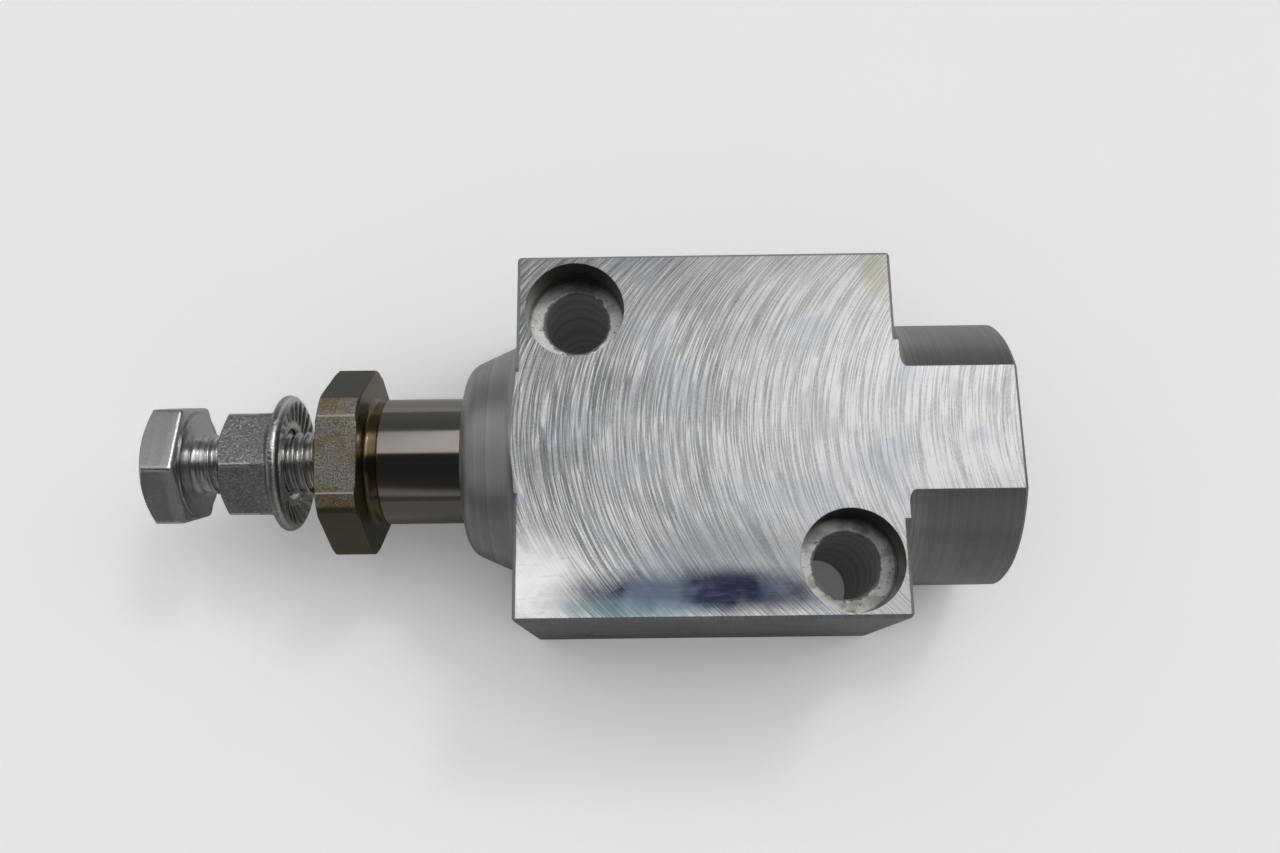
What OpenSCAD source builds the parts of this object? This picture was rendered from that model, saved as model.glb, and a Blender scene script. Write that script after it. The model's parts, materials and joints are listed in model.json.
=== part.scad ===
// Plunger-operated hydraulic poppet valve in a flange-mounted steel block.
// A spring-returned plunger leaves the block through a turned nose and carries an
// adjustable striker: a hexagon bolt locked by a serrated flange nut. Pushing the
// striker in drives a pin through the valve seat and lifts the poppet.
//
// Frame: origin at the centre of the mounting face, +Z out of the front face,
// +X along the plunger towards the port boss, +Y across the block.

/* [Body block] */
// Length of the block along the plunger
body_l = 56; // [50:0.5:70]
// Width of the block across the plunger
body_w = 54.5; // [50:0.5:66]
// Thickness from the mounting face to the front face
body_t = 37; // [34:0.5:40]
// Broken edge all round the block
edge_chamfer = 0.5; // [0.2:0.1:1]

/* [Nose] */
// Length of the turned nose
nose_l = 9; // [8:0.5:14]
// Diameter of the nose cone where it would meet the block
nose_root_d = 37.3; // [34:0.1:38]
// Angle of the nose cone to the axis
nose_angle = 24; // [15:1:26]
// Rounded corner between cone and nose face
nose_corner_r = 3.5; // [2:0.1:4]
// Fillet between cone and block
nose_fillet_r = 3; // [1:0.1:3.5]

/* [Port boss] */
// Diameter of the turned port boss
boss_d = 41.3; // [38:0.1:46]
// Length of the port boss
boss_l = 17.5; // [17:0.5:25]
// Diameter of the faced ring at the foot of the boss
boss_foot_d = 45.6; // [45:0.1:48]
// Height of the faced ring
boss_foot_h = 0.4; // [0.2:0.1:1]
// Fillet at the foot of the boss
boss_fillet_r = 1; // [0.5:0.1:1.2]
// Bore of the threaded inlet port, G 3/4 tapping size
port_d = 24.3; // [24.2:0.1:24.5]
// Depth of thread in the inlet port
port_depth = 16; // [15:0.5:16.5]
// Entry countersink of the inlet port
port_entry_d = 27; // [26.5:0.1:28]

/* [Mounting] */
// Counterbore for an M8 socket-head screw
counterbore_d = 14.8; // [14:0.1:15]
// Depth of the counterbore
counterbore_h = 6.4; // [5:0.1:9]
// Clearance hole for the mounting screws
screw_hole_d = 9.7; // [8.6:0.1:10]
// Inset of the first screw from its two block edges
screw_inset_1 = 8.6; // [8.2:0.1:9.5]
// Inset of the second screw from its two block edges
screw_inset_2 = 8.1; // [7.9:0.1:9.5]
// Outlet port in the mounting face
outlet_d = 8; // [6:0.5:9]
// Mean diameter of the face seal round the outlet
face_seal_d = 14.5; // [13:0.5:18]

/* [Plunger] */
// Ground stem diameter
stem_d = 20; // [20:1:20]
// Ground stem standing out of the nose at rest
stem_out = 13.25; // [10:0.05:20]
// Diameter of the undercut next to the hexagon
undercut_d = 19.1; // [17:0.1:19.5]
// Width of the undercut
undercut_l = 1.95; // [1:0.05:4]
// Plunger hexagon across flats
hex_af = 27; // [24:1:27]
// Turned diameter of the plunger hexagon
hex_d = 29.5; // [27.5:0.1:30]
// Thickness of the plunger hexagon
hex_l = 6.3; // [5:0.1:12]
// Turn of the plunger hexagon about its axis
hex_turn = 7.6; // [-30:0.1:30]
// Travel of the plunger
stroke = 6; // [3:0.5:6]
// Travel before the push pin reaches the poppet
lost_motion = 1.5; // [0.5:0.1:3]

/* [Striker bolt and lock nut] */
// Thread diameter
thread_d = 10; // [8:1:12]
// Bolt length under the head
bolt_l = 40; // [35:1:45]
// Gap between bolt head and plunger at rest
bolt_gap = 22.2; // [18:0.1:26]
// Bolt head across flats
head_af = 18; // [16:1:18]
// Bolt head height
head_h = 6.3; // [6:0.1:7]
// Turn of the bolt head about its axis
head_turn = 16.5; // [-30:0.1:30]
// Lock nut across flats
nut_af = 16; // [15:1:16]
// Lock nut height
nut_h = 10.4; // [9:0.1:10.8]
// Lock nut flange diameter
nut_flange_d = 21.8; // [20:0.1:22]
// Thickness of the flange rim
nut_rim = 2.2; // [1:0.1:2.5]
// Gap between lock nut and plunger at rest
nut_gap = 6.5; // [6.5:0.1:7.8]
// Turn of the lock nut about its axis
nut_turn = 14; // [-30:0.1:30]

/* [Fits] */
// Radial clearance of sliding metal parts
slide_gap = 0.04; // [0.01:0.01:0.1]
// Gap left between a seal lip and the moving stem
lip_gap = 0.03; // [0.01:0.01:0.1]
// Gap that keeps seated parts from sharing space
seat_gap = 0.02; // [0.01:0.01:0.05]

/* [Hidden] */
$fn = 96;

axis_z = body_t / 2;
x_block = -body_l / 2;           // plunger side of the block
x_foot = body_l / 2;             // port side of the block
x_nose = x_block - nose_l;       // nose face
x_port = x_foot + boss_l;        // port face
boss_r = boss_d / 2;
stem_r = stem_d / 2;
thread_r = thread_d / 2;

// Seal housing, worked inwards from the nose face
lip_l = 1.2;
land_l = 1.2;
wiper_w = 4;
seal_w = 4.8;
x_wiper = x_nose + lip_l;
x_seal = x_wiper + wiper_w + land_l;
x_bush = x_seal + seal_w + land_l;
stem_hole_r = stem_r + 0.3;
wiper_groove_r = stem_r + 3;
seal_groove_r = stem_r + 3.2;

// Guide bush and spring chamber
bush_l = 12;
bush_r = stem_r + 1;
chamber_r = bush_r + 0.2;
chamber_l = 18;
x_chamber = x_bush + bush_l;

// Valve insert: seat, cage and the ring that holds them
insert_r = 11.7;
x_seat = x_chamber + chamber_l;
seat_l = 7;
seat_hole_r = 4.5;
seat_bore_l = 4;
seat_recess_r = 8.5;
x_edge = x_seat + seat_bore_l;
cage_l = 15;
cage_skirt_l = 3.5;
cage_skirt_r = 10.8;
x_cage = x_seat + seat_l;
guide_depth = 13.2;
ring_groove_r = insert_r + 0.75;
ring_w = 1.2;
x_ring = x_cage + cage_l;

// Plunger tail with its stop ring
stop_l = 2;
tail_r = 8;
wire_r = 0.6;
tail_l = 3.9;
x_stop = x_chamber + seat_gap;
x_wire = x_stop + stop_l + wire_r + seat_gap;
x_tail = x_stop + tail_l;
washer_l = 1;

// Poppet and push pin
poppet_r = 7.5;
poppet_tip_r = 3;
poppet_bore_r = 5.2;
poppet_skirt_l = 8.5;
x_tip = x_edge - (seat_hole_r - poppet_tip_r) + seat_gap;
x_shoulder = x_tip + poppet_r - poppet_tip_r;
x_poppet_end = x_shoulder + poppet_skirt_l;
poppet_floor = 1.5;
pin_r = 2.5;
pin_press = 8;
x_pin = x_tail - pin_press;

// Outer end of the plunger and the striker
x_stem = x_nose - stem_out;
x_hex_in = x_stem - undercut_l;
x_hex = x_hex_in - hex_l;
x_head = x_hex - bolt_gap;
x_nut = x_hex - nut_gap;
tapped_l = 25;

// Mounting screw places and the face seal
screw_1 = [x_block + screw_inset_1, body_w / 2 - screw_inset_1];
screw_2 = [x_foot - screw_inset_2, screw_inset_2 - body_w / 2];
face_groove_w = 2.5;
face_groove_h = 1.85;
o_ring_r = 0.92;

overlap = 1;                     // depth by which cutting shapes pass a surface
reach = 200;                     // longer than the part in any direction

// Solid turned about the plunger axis from [radius, x] points
module turned(points) {
    translate([0, 0, axis_z]) rotate([0, 90, 0]) rotate_extrude() polygon(points);
}

// Plain turned cylinder from x0 to x1
module rod(r, x0, x1) {
    translate([x0, 0, axis_z]) rotate([0, 90, 0]) cylinder(r = r, h = x1 - x0);
}

// Ring with a rectangular section
module band(r_in, r_out, x0, x1) {
    turned([[r_in, x0], [r_out, x0], [r_out, x1], [r_in, x1]]);
}

// Hexagonal bar with one corner turned by angle from +Z towards -Y
module hex_bar(af, angle, x0, x1) {
    translate([x0, 0, axis_z]) rotate([angle, 0, 0]) rotate([0, 90, 0])
        cylinder(d = af / cos(30), h = x1 - x0, $fn = 6);
}

// Hexagon chamfered at 30 degrees on its x0 face, leaving a flat of radius face_r
module chamfered_hex(af, angle, face_r, x0, x1) {
    clear_r = af;
    intersection() {
        hex_bar(af, angle, x0, x1);
        turned([[0, x0], [face_r, x0], [clear_r, x0 + (clear_r - face_r) * tan(30)],
                [clear_r, x1 + overlap], [0, x1 + overlap]]);
    }
}

// Round ring of wire or rubber at x
module hoop(r_mean, r_wire, x) {
    translate([x, 0, axis_z]) rotate([0, 90, 0])
        rotate_extrude() translate([r_mean, 0]) circle(r = r_wire, $fn = 24);
}

function arc(centre, r, from, to, steps = 6) =
    [for (i = [0:steps])
        let (a = from + (to - from) * i / steps)
        centre + r * [cos(a), sin(a)]];

// Height of a coil's centre after a share of its turns, with both ends closed
function coil_rise(t, turns, wire_d, length) =
    let (closed = 1, pitch = (length - wire_d - 2 * closed * wire_d) / (turns - 2 * closed))
    t < closed ? t * wire_d
    : t < turns - closed ? closed * wire_d + (t - closed) * pitch
    : length - wire_d - (turns - t) * wire_d;

// Compression spring from x0 to x0 + length, wound as one closed tube
module coil(r_mean, r_wire, turns, x0, length, per_turn = 28, sides = 10) {
    steps = floor(turns * per_turn);
    centres = [for (i = [0:steps]) coil_rise(i / per_turn, turns, 2 * r_wire, length)];
    points = [for (i = [0:steps], k = [0:sides - 1])
        let (a = 360 * i / per_turn, b = 360 * k / sides, r = r_mean + r_wire * cos(b))
        [x0 + r_wire + centres[i] + r_wire * sin(b), r * cos(a), axis_z + r * sin(a)]];
    sleeve = [for (i = [0:steps - 1], k = [0:sides - 1])
        let (p = i * sides + k, q = i * sides + (k + 1) % sides)
        [p, q, q + sides, p + sides]];
    first = [for (k = [sides - 1:-1:0]) k];
    last = [for (k = [0:sides - 1]) steps * sides + k];
    polyhedron(points, concat(sleeve, [first, last]), convexity = 8);
}

// Gap and grip holes of a snap ring, at the top of the ring
module ring_gap(width, x) {
    translate([x, -width / 2, axis_z]) cube([10, width, reach]);
}

module block() {
    c = edge_chamfer;
    outline = [[c, 0], [body_l - c, 0], [body_l, c], [body_l, body_w - c],
               [body_l - c, body_w], [c, body_w], [0, body_w - c], [0, c]];
    side = [[c, 0], [body_l - c, 0], [body_l, c], [body_l, body_t - c],
            [body_l - c, body_t], [c, body_t], [0, body_t - c], [0, c]];
    front = [[c, 0], [body_w - c, 0], [body_w, c], [body_w, body_t - c],
             [body_w - c, body_t], [c, body_t], [0, body_t - c], [0, c]];
    translate([x_block, -body_w / 2, 0]) intersection() {
        linear_extrude(body_t) polygon(outline);
        translate([0, body_w, 0]) rotate([90, 0, 0]) linear_extrude(body_w) polygon(side);
        rotate([90, 0, 90]) linear_extrude(body_l) polygon(front);
    }
}

module nose() {
    a = nose_angle;
    root_r = nose_root_d / 2;
    f = nose_fillet_r;
    k = nose_corner_r;
    fillet_c = [root_r - f * tan(a) + f / cos(a), x_block - f];
    corner_x = k - nose_l;
    corner_c = [root_r + corner_x * tan(a) - k / cos(a), x_block + corner_x];
    turned(concat(
        [[0, x_block + overlap], [fillet_c[0], x_block + overlap]],
        arc(fillet_c, f, 90, 180 - a),
        arc(corner_c, k, -a, -90),
        [[0, x_nose]]));
}

module boss() {
    f = boss_fillet_r;
    c = edge_chamfer;
    foot_x = x_foot + boss_foot_h;
    turned(concat(
        [[0, x_foot - overlap], [boss_foot_d / 2, x_foot - overlap], [boss_foot_d / 2, foot_x]],
        arc([boss_r + f, foot_x + f], f, 270, 180),
        [[boss_r, x_port - c], [boss_r - c, x_port], [0, x_port]]));
}

// Milled slab that flattens nose and boss flush with the front and mounting faces
module milled_slab() {
    c = edge_chamfer;
    translate([0, reach / 2, 0]) rotate([90, 0, 0]) linear_extrude(reach)
        polygon([[-reach, 0], [x_port - c, 0], [x_port, c],
                 [x_port, body_t - c], [x_port - c, body_t], [-reach, body_t]]);
}

module screw_hole(place) {
    translate([place[0], place[1], 0]) {
        translate([0, 0, -overlap]) cylinder(d = screw_hole_d, h = body_t + 2 * overlap);
        translate([0, 0, body_t - counterbore_h])
            cylinder(d = counterbore_d, h = counterbore_h + overlap);
    }
}

module main_bore() {
    entry = (port_entry_d - port_d) / 2;
    rod(stem_hole_r, x_nose - overlap, x_chamber);
    rod(wiper_groove_r, x_wiper, x_wiper + wiper_w);
    rod(seal_groove_r, x_seal, x_seal + seal_w);
    rod(bush_r, x_bush, x_chamber);
    rod(chamber_r, x_chamber, x_seat);
    rod(insert_r, x_seat, x_port - port_depth);
    rod(ring_groove_r, x_ring, x_ring + ring_w);
    rod(port_d / 2, x_port - port_depth, x_port + overlap);
    turned([[0, x_port - entry], [port_d / 2, x_port - entry],
            [port_entry_d / 2, x_port], [port_entry_d / 2, x_port + overlap],
            [0, x_port + overlap]]);
}

module face_port() {
    translate([0, 0, -overlap]) cylinder(d = outlet_d, h = axis_z);
    difference() {
        translate([0, 0, -overlap])
            cylinder(d = face_seal_d + face_groove_w, h = face_groove_h + overlap);
        translate([0, 0, -2 * overlap])
            cylinder(d = face_seal_d - face_groove_w, h = face_groove_h + 3 * overlap);
    }
}

module valve_body() {
    color([0.74, 0.76, 0.79]) difference() {
        intersection() {
            union() {
                block();
                nose();
                boss();
            }
            milled_slab();
        }
        screw_hole(screw_1);
        screw_hole(screw_2);
        main_bore();
        face_port();
    }
}

// Scraper with one lip towards the nose face
module wiper_ring() {
    r = stem_r + lip_gap;
    x0 = x_wiper + seat_gap;
    x1 = x_wiper + wiper_w - seat_gap;
    color([0.12, 0.28, 0.2]) turned([[r, x0 + 0.3], [r + 0.4, x0], [wiper_groove_r - 0.5, x0],
        [wiper_groove_r - seat_gap, x0 + 0.5], [wiper_groove_r - seat_gap, x1],
        [stem_hole_r, x1], [stem_hole_r, x0 + 1.8], [r, x0 + 0.9]]);
}

module backup_ring() {
    color([0.9, 0.88, 0.8]) band(stem_r + lip_gap, seal_groove_r - seat_gap,
        x_seal + seat_gap, x_seal + 1.2);
}

// U-cup with its lips towards the pressure in the spring chamber
module rod_seal() {
    r = stem_r + lip_gap;
    r_out = seal_groove_r - seat_gap;
    r_mid = (r + r_out) / 2;
    x0 = x_seal + 1.2 + seat_gap;
    x1 = x_seal + seal_w - seat_gap;
    color([0.15, 0.35, 0.6]) turned([[r + 0.2, x0], [r_out - 0.2, x0], [r_out, x1 - 0.5],
        [r_out - 0.3, x1], [r_mid + 0.6, x1 - 0.3], [r_mid, x1 - 1.7],
        [r_mid - 0.6, x1 - 0.3], [r + 0.3, x1], [r, x1 - 0.5]]);
}

module guide_bush() {
    groove_x = x_bush + bush_l / 2;
    color([0.72, 0.52, 0.28]) difference() {
        band(stem_r + slide_gap, bush_r - seat_gap / 2, x_bush + seat_gap, x_chamber);
        band(stem_r - overlap, stem_r + 0.35, groove_x - 0.6, groove_x + 0.6);
    }
}

// Hexagon, undercut, ground stem and tail in one piece, tapped for the striker bolt
module plunger() {
    c = 0.6;
    hex_break = 0.25;
    break_r = hex_d / 2 - hex_break / tan(30);
    color([0.42, 0.37, 0.31]) difference() {
        union() {
            intersection() {
                hex_bar(hex_af, hex_turn + 30, x_hex, x_hex_in);
                turned([[0, x_hex], [break_r, x_hex], [hex_d / 2, x_hex + hex_break],
                        [hex_d / 2, x_hex_in - hex_break], [break_r, x_hex_in], [0, x_hex_in]]);
            }
            rod(undercut_d / 2, x_hex_in - overlap, x_stem + overlap);
            turned([[0, x_stem], [stem_r - c, x_stem], [stem_r, x_stem + c],
                    [stem_r, x_stop - c], [stem_r - c, x_stop], [0, x_stop]]);
            turned([[0, x_stop - overlap], [tail_r, x_stop - overlap], [tail_r, x_tail - c],
                    [tail_r - c, x_tail], [0, x_tail]]);
        }
        rod(thread_r + slide_gap, x_hex - overlap, x_hex + tapped_l);
        turned([[0, x_hex - overlap], [thread_r + c, x_hex - overlap], [thread_r + c, x_hex],
                [thread_r, x_hex + c], [0, x_hex + c]]);
        hoop(tail_r, wire_r + seat_gap, x_wire);
        rod(pin_r, x_pin, x_tail + overlap);
    }
}

// Collar that stops the plunger against the guide bush and carries the spring
module stop_ring() {
    color([0.55, 0.56, 0.58]) band(tail_r + seat_gap, chamber_r - 0.25, x_stop, x_stop + stop_l);
}

module tail_snap_ring() {
    color([0.3, 0.3, 0.32]) difference() {
        hoop(tail_r, wire_r, x_wire);
        ring_gap(2.5, x_wire - 5);
    }
}

module push_pin() {
    c = 0.5;
    x_end = x_tip - lost_motion;
    color([0.8, 0.81, 0.83]) turned([[0, x_pin], [pin_r - c, x_pin], [pin_r, x_pin + c],
        [pin_r, x_end - c], [pin_r - c, x_end], [0, x_end]]);
}

module return_spring() {
    x0 = x_stop + stop_l + seat_gap;
    color([0.45, 0.47, 0.5])
        coil(chamber_r - 1.5, 0.8, 4.5, x0, x_seat - washer_l - seat_gap - x0);
}

module spring_washer() {
    color([0.6, 0.6, 0.62]) band(6.5, chamber_r - 0.15, x_seat - washer_l, x_seat);
}

module valve_seat() {
    groove_x = x_seat + 1.6;
    groove_r = insert_r - 1.9;
    groove_w = 3.5;
    r = insert_r - seat_gap;
    color([0.62, 0.63, 0.66]) difference() {
        turned([[0, x_seat], [r - 0.4, x_seat], [r, x_seat + 0.4], [r, groove_x],
                [groove_r, groove_x], [groove_r, groove_x + groove_w],
                [r, groove_x + groove_w], [r, x_cage], [0, x_cage]]);
        rod(seat_hole_r, x_seat - overlap, x_cage);
        rod(seat_recess_r, x_edge, x_cage + overlap);
    }
}

module seat_o_ring() {
    color([0.08, 0.08, 0.09]) hoop(insert_r - 0.95, o_ring_r, x_seat + 4.1);
}

module seat_backup_ring() {
    color([0.9, 0.88, 0.8]) band(insert_r - 1.88, insert_r - seat_gap,
        x_seat + 1.65, x_seat + 2.9);
}

// Hollow poppet: seating cone in front, guided skirt with a cross-drilled bleed behind
module poppet() {
    x_floor = x_shoulder + poppet_floor;
    color([0.66, 0.67, 0.7]) difference() {
        turned([[0, x_tip], [poppet_tip_r, x_tip], [poppet_r, x_shoulder],
                [poppet_r, x_poppet_end], [poppet_bore_r, x_poppet_end],
                [poppet_bore_r, x_floor], [0, x_floor]]);
        translate([x_floor + 1, 0, axis_z]) cylinder(r = 0.6, h = poppet_r + overlap, $fn = 24);
    }
}

module poppet_spring() {
    x0 = x_shoulder + poppet_floor + seat_gap;
    color([0.5, 0.5, 0.52])
        coil(4.2, 0.55, 5.5, x0, x_cage + guide_depth - seat_gap - x0, per_turn = 24);
}

// Cage that guides the poppet and lets oil pass through a ring of drillings
module poppet_cage() {
    r = insert_r - seat_gap;
    guide_r = poppet_r + slide_gap;
    drill_r = (guide_r + r) / 2;
    x_guide = x_cage + cage_skirt_l;
    color([0.58, 0.6, 0.55]) difference() {
        rod(r, x_cage, x_ring);
        rod(cage_skirt_r, x_cage - overlap, x_guide);
        rod(guide_r, x_cage, x_cage + guide_depth);
        rod(1, x_cage, x_ring + overlap);
        for (i = [0:7])
            translate([x_guide - overlap, 0, axis_z]) rotate([45 * i, 0, 0])
                translate([0, 0, drill_r]) rotate([0, 90, 0]) cylinder(r = 1.5, h = cage_l, $fn = 32);
    }
}

// Internal snap ring with two drilled ears
module cage_snap_ring() {
    x0 = x_ring + seat_gap;
    w = ring_w - 2 * seat_gap;
    ear_r = insert_r - 2.8;
    ear_angle = 24;
    color([0.22, 0.22, 0.24]) difference() {
        union() {
            band(insert_r - 1.3, ring_groove_r - seat_gap, x0, x0 + w);
            for (side = [-1, 1])
                translate([x0, 0, axis_z]) rotate([side * ear_angle, 0, 0])
                    translate([0, 0, ear_r]) rotate([0, 90, 0]) cylinder(r = 2.1, h = w, $fn = 32);
        }
        ring_gap(4, x0 - 5);
        for (side = [-1, 1])
            translate([x0 - overlap, 0, axis_z]) rotate([side * ear_angle, 0, 0])
                translate([0, 0, ear_r]) rotate([0, 90, 0]) cylinder(r = 0.9, h = w + 2 * overlap, $fn = 24);
    }
}

// Face seal, drawn pressed flush as it is when the block is bolted down
module face_o_ring() {
    color([0.08, 0.08, 0.09]) translate([0, 0, o_ring_r])
        rotate_extrude() translate([face_seal_d / 2, 0]) circle(r = o_ring_r, $fn = 24);
}

module adjusting_bolt() {
    face_r = head_af * 0.465;
    face_h = 0.4;
    tip = 0.9;
    color([0.78, 0.78, 0.78]) union() {
        chamfered_hex(head_af, head_turn, face_r, x_head - head_h, x_head - face_h);
        turned([[0, x_head - face_h - overlap], [face_r, x_head - face_h - overlap],
                [face_r, x_head], [thread_r, x_head], [thread_r, x_head + bolt_l - tip],
                [thread_r - tip, x_head + bolt_l], [0, x_head + bolt_l]]);
    }
}

module lock_nut() {
    x0 = x_nut - nut_h;
    flange_r = nut_flange_d / 2;
    cone_r = nut_af * 0.51;
    cone_l = 1.2;
    c = 0.6;
    color([0.7, 0.73, 0.78]) difference() {
        union() {
            chamfered_hex(nut_af, nut_turn, nut_af * 0.47, x0, x_nut - nut_rim);
            turned([[0, x_nut - nut_rim - cone_l], [cone_r, x_nut - nut_rim - cone_l],
                    [flange_r, x_nut - nut_rim], [flange_r, x_nut], [0, x_nut]]);
        }
        rod(thread_r + slide_gap, x0 - overlap, x_nut + overlap);
        turned([[0, x0 - overlap], [thread_r + c, x0 - overlap], [thread_r + c, x0],
                [thread_r, x0 + c], [0, x0 + c]]);
    }
}

valve_body();
wiper_ring();
backup_ring();
rod_seal();
guide_bush();
plunger();
stop_ring();
tail_snap_ring();
push_pin();
return_spring();
spring_washer();
valve_seat();
seat_o_ring();
seat_backup_ring();
poppet();
poppet_spring();
poppet_cage();
cage_snap_ring();
face_o_ring();
adjusting_bolt();
lock_nut();
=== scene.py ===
"""Looks of a plunger-operated hydraulic valve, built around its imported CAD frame.

The valve lies on its mounting face. +X runs along the plunger from the striker to the port boss and +Z is up.
Sizes are in millimetres until a mesh is made; MM turns them into metres.
"""
import json
import math

import bmesh
import bpy
import numpy as np
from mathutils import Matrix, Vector


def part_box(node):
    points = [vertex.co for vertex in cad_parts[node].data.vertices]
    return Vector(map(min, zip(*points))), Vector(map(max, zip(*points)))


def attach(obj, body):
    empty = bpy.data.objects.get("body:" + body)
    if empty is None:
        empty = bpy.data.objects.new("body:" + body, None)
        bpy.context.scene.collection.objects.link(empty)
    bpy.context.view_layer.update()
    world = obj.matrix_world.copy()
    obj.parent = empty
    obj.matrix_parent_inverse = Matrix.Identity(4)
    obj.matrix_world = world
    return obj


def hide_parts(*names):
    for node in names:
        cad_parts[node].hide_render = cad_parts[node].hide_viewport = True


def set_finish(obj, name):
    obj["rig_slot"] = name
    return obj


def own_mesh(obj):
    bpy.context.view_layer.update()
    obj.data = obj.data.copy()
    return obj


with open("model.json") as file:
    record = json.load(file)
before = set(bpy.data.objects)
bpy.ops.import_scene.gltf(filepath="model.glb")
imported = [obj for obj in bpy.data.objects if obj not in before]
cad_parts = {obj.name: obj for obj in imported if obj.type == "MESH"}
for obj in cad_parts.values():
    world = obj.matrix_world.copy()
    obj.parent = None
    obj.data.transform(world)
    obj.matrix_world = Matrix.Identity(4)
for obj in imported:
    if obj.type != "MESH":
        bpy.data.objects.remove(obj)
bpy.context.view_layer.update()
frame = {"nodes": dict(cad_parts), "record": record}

MM = 0.001


def span(node):
    """Lowest and highest corner of a CAD node, in millimetres."""
    low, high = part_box(node)
    return low / MM, high / MM


# ---------------------------------------------------------------- sizes from the frame

BODY_LOW, BODY_HIGH = span("valve_body")
BOLT_LOW, BOLT_HIGH = span("adjusting_bolt")
NUT_LOW, NUT_HIGH = span("lock_nut")
PLUNGER_LOW, PLUNGER_HIGH = span("plunger")
PIN_LOW, _ = span("push_pin")
STOP_LOW, STOP_HIGH = span("stop_ring")
BODY_T = BODY_HIGH.z
BODY_W = BODY_HIGH.y - BODY_LOW.y
AXIS_Z = BODY_T / 2
FULL = 2 * math.pi

# Threads: major radius, depth and pitch of M10 and of the G 3/4 inlet
M10 = {"major": 5.0, "depth": 0.88, "pitch": 1.5}
G34 = {"major": 13.22, "depth": 1.16, "pitch": 1.814}
THREAD_GAP = 0.05
OUTSIDE_STEPS, INSIDE_STEPS = 16, 10      # rings per pitch


# ---------------------------------------------------------------- turned and hexagonal solids

def even_angles(count):
    return np.arange(count) * FULL / count


def hex_angles(corner, offsets):
    """Angles that repeat the same offsets, in degrees from a flat's middle, on all six flats."""
    flat = corner + 30
    return np.radians([flat + 60 * side + offset for side in range(6) for offset in offsets])


def hex_radius(angles, corner, across_flats, sharpness=90.0):
    """Radius of a hexagon with slightly rounded corners, one corner at the angle `corner` in degrees."""
    total = np.zeros_like(angles)
    for side in range(6):
        lean = np.cos(angles - math.radians(corner + 30 + 60 * side))
        total += np.clip(lean, 0, 1) ** sharpness
    return across_flats / 2 / total ** (1 / sharpness)


def thread_height(x, angles, pitch):
    """0 at the root and 1 at the crest of a right-hand thread along +X, with rounded crests and roots."""
    phase = x / pitch - angles / FULL
    away = np.abs(phase - np.round(phase)) * 2
    slope = np.clip((away - 0.14) / 0.62, 0, 1)
    return 1 - (0.45 * slope + 0.55 * slope * slope * (3 - 2 * slope))


def arc(centre_x, centre_r, radius, start, stop, steps=5):
    """[x, r] points of an arc; angles in degrees from +X towards growing radius."""
    turns = np.radians(np.linspace(start, stop, steps + 1))
    return [(centre_x + radius * math.cos(t), centre_r + radius * math.sin(t)) for t in turns]


def finish_piece(name, mesh, body, node, slot, crease):
    """Shades a mesh smooth up to a crease angle, ties it to a body and hides the CAD node it stands for."""
    mesh.polygons.foreach_set("use_smooth", [True] * len(mesh.polygons))
    mesh.set_sharp_from_angle(angle=math.radians(crease))
    piece = bpy.data.objects.new(name, mesh)
    bpy.context.scene.collection.objects.link(piece)
    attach(piece, body)
    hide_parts(node)
    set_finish(piece, slot)
    return piece


def add_mesh(name, points, faces, body, node, slot, crease=32):
    """Makes a piece from points in millimetres."""
    mesh = bpy.data.meshes.new(name)
    mesh.from_pydata([tuple(p * MM for p in point) for point in points], [], faces)
    bm = bmesh.new()
    bm.from_mesh(mesh)
    bmesh.ops.remove_doubles(bm, verts=bm.verts, dist=1e-7)
    bmesh.ops.recalc_face_normals(bm, faces=bm.faces)
    bm.to_mesh(mesh)
    bm.free()
    return finish_piece(name, mesh, body, node, slot, crease)


def lathe(rings, angles, closed=False):
    """Points and faces of a solid made of rings about the plunger axis.

    A ring is (x, r), each a number or one value per angle, and a ring of radius 0 is a single point.
    Angles run from +Z towards -Y.
    """
    count = len(angles)
    sines, cosines = np.sin(angles), np.cos(angles)
    points, rows = [], []
    for x, r in rings:
        x, r = np.broadcast_to(x, count), np.broadcast_to(r, count)
        if r.max() < 1e-9:
            rows.append([len(points)])
            points.append((x[0], 0.0, AXIS_Z))
            continue
        rows.append(list(range(len(points), len(points) + count)))
        points += zip(x.tolist(), (-r * sines).tolist(), (AXIS_Z + r * cosines).tolist())
    faces = []
    pairs = list(zip(rows, rows[1:] + rows[:1])) if closed else list(zip(rows, rows[1:]))
    for low, high in pairs:
        for j in range(count):
            k = (j + 1) % count
            if len(low) == 1:
                faces.append((low[0], high[j], high[k]))
            elif len(high) == 1:
                faces.append((low[j], low[k], high[0]))
            else:
                faces.append((low[j], low[k], high[k], high[j]))
    return points, faces


def outside_thread(x0, x1, angles, size, lead_in, lead_out):
    """Rings of an external thread whose depth grows over lead_in, with a 45 degree point over lead_out."""
    root = size["major"] - size["depth"]
    steps = math.ceil((x1 - x0) / size["pitch"] * OUTSIDE_STEPS)
    rings = []
    for x in np.linspace(x0, x1, steps + 1):
        grown = np.clip((x - x0) / lead_in, 0, 1)
        height = thread_height(x, angles, size["pitch"])
        mean = root + size["depth"] * 0.55
        r = mean + grown * (root + size["depth"] * height - mean)
        point_r = size["major"] - THREAD_GAP - np.clip(x - (x1 - lead_out), 0, None)
        rings.append((x, np.minimum(r, point_r)))
    return rings


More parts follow.
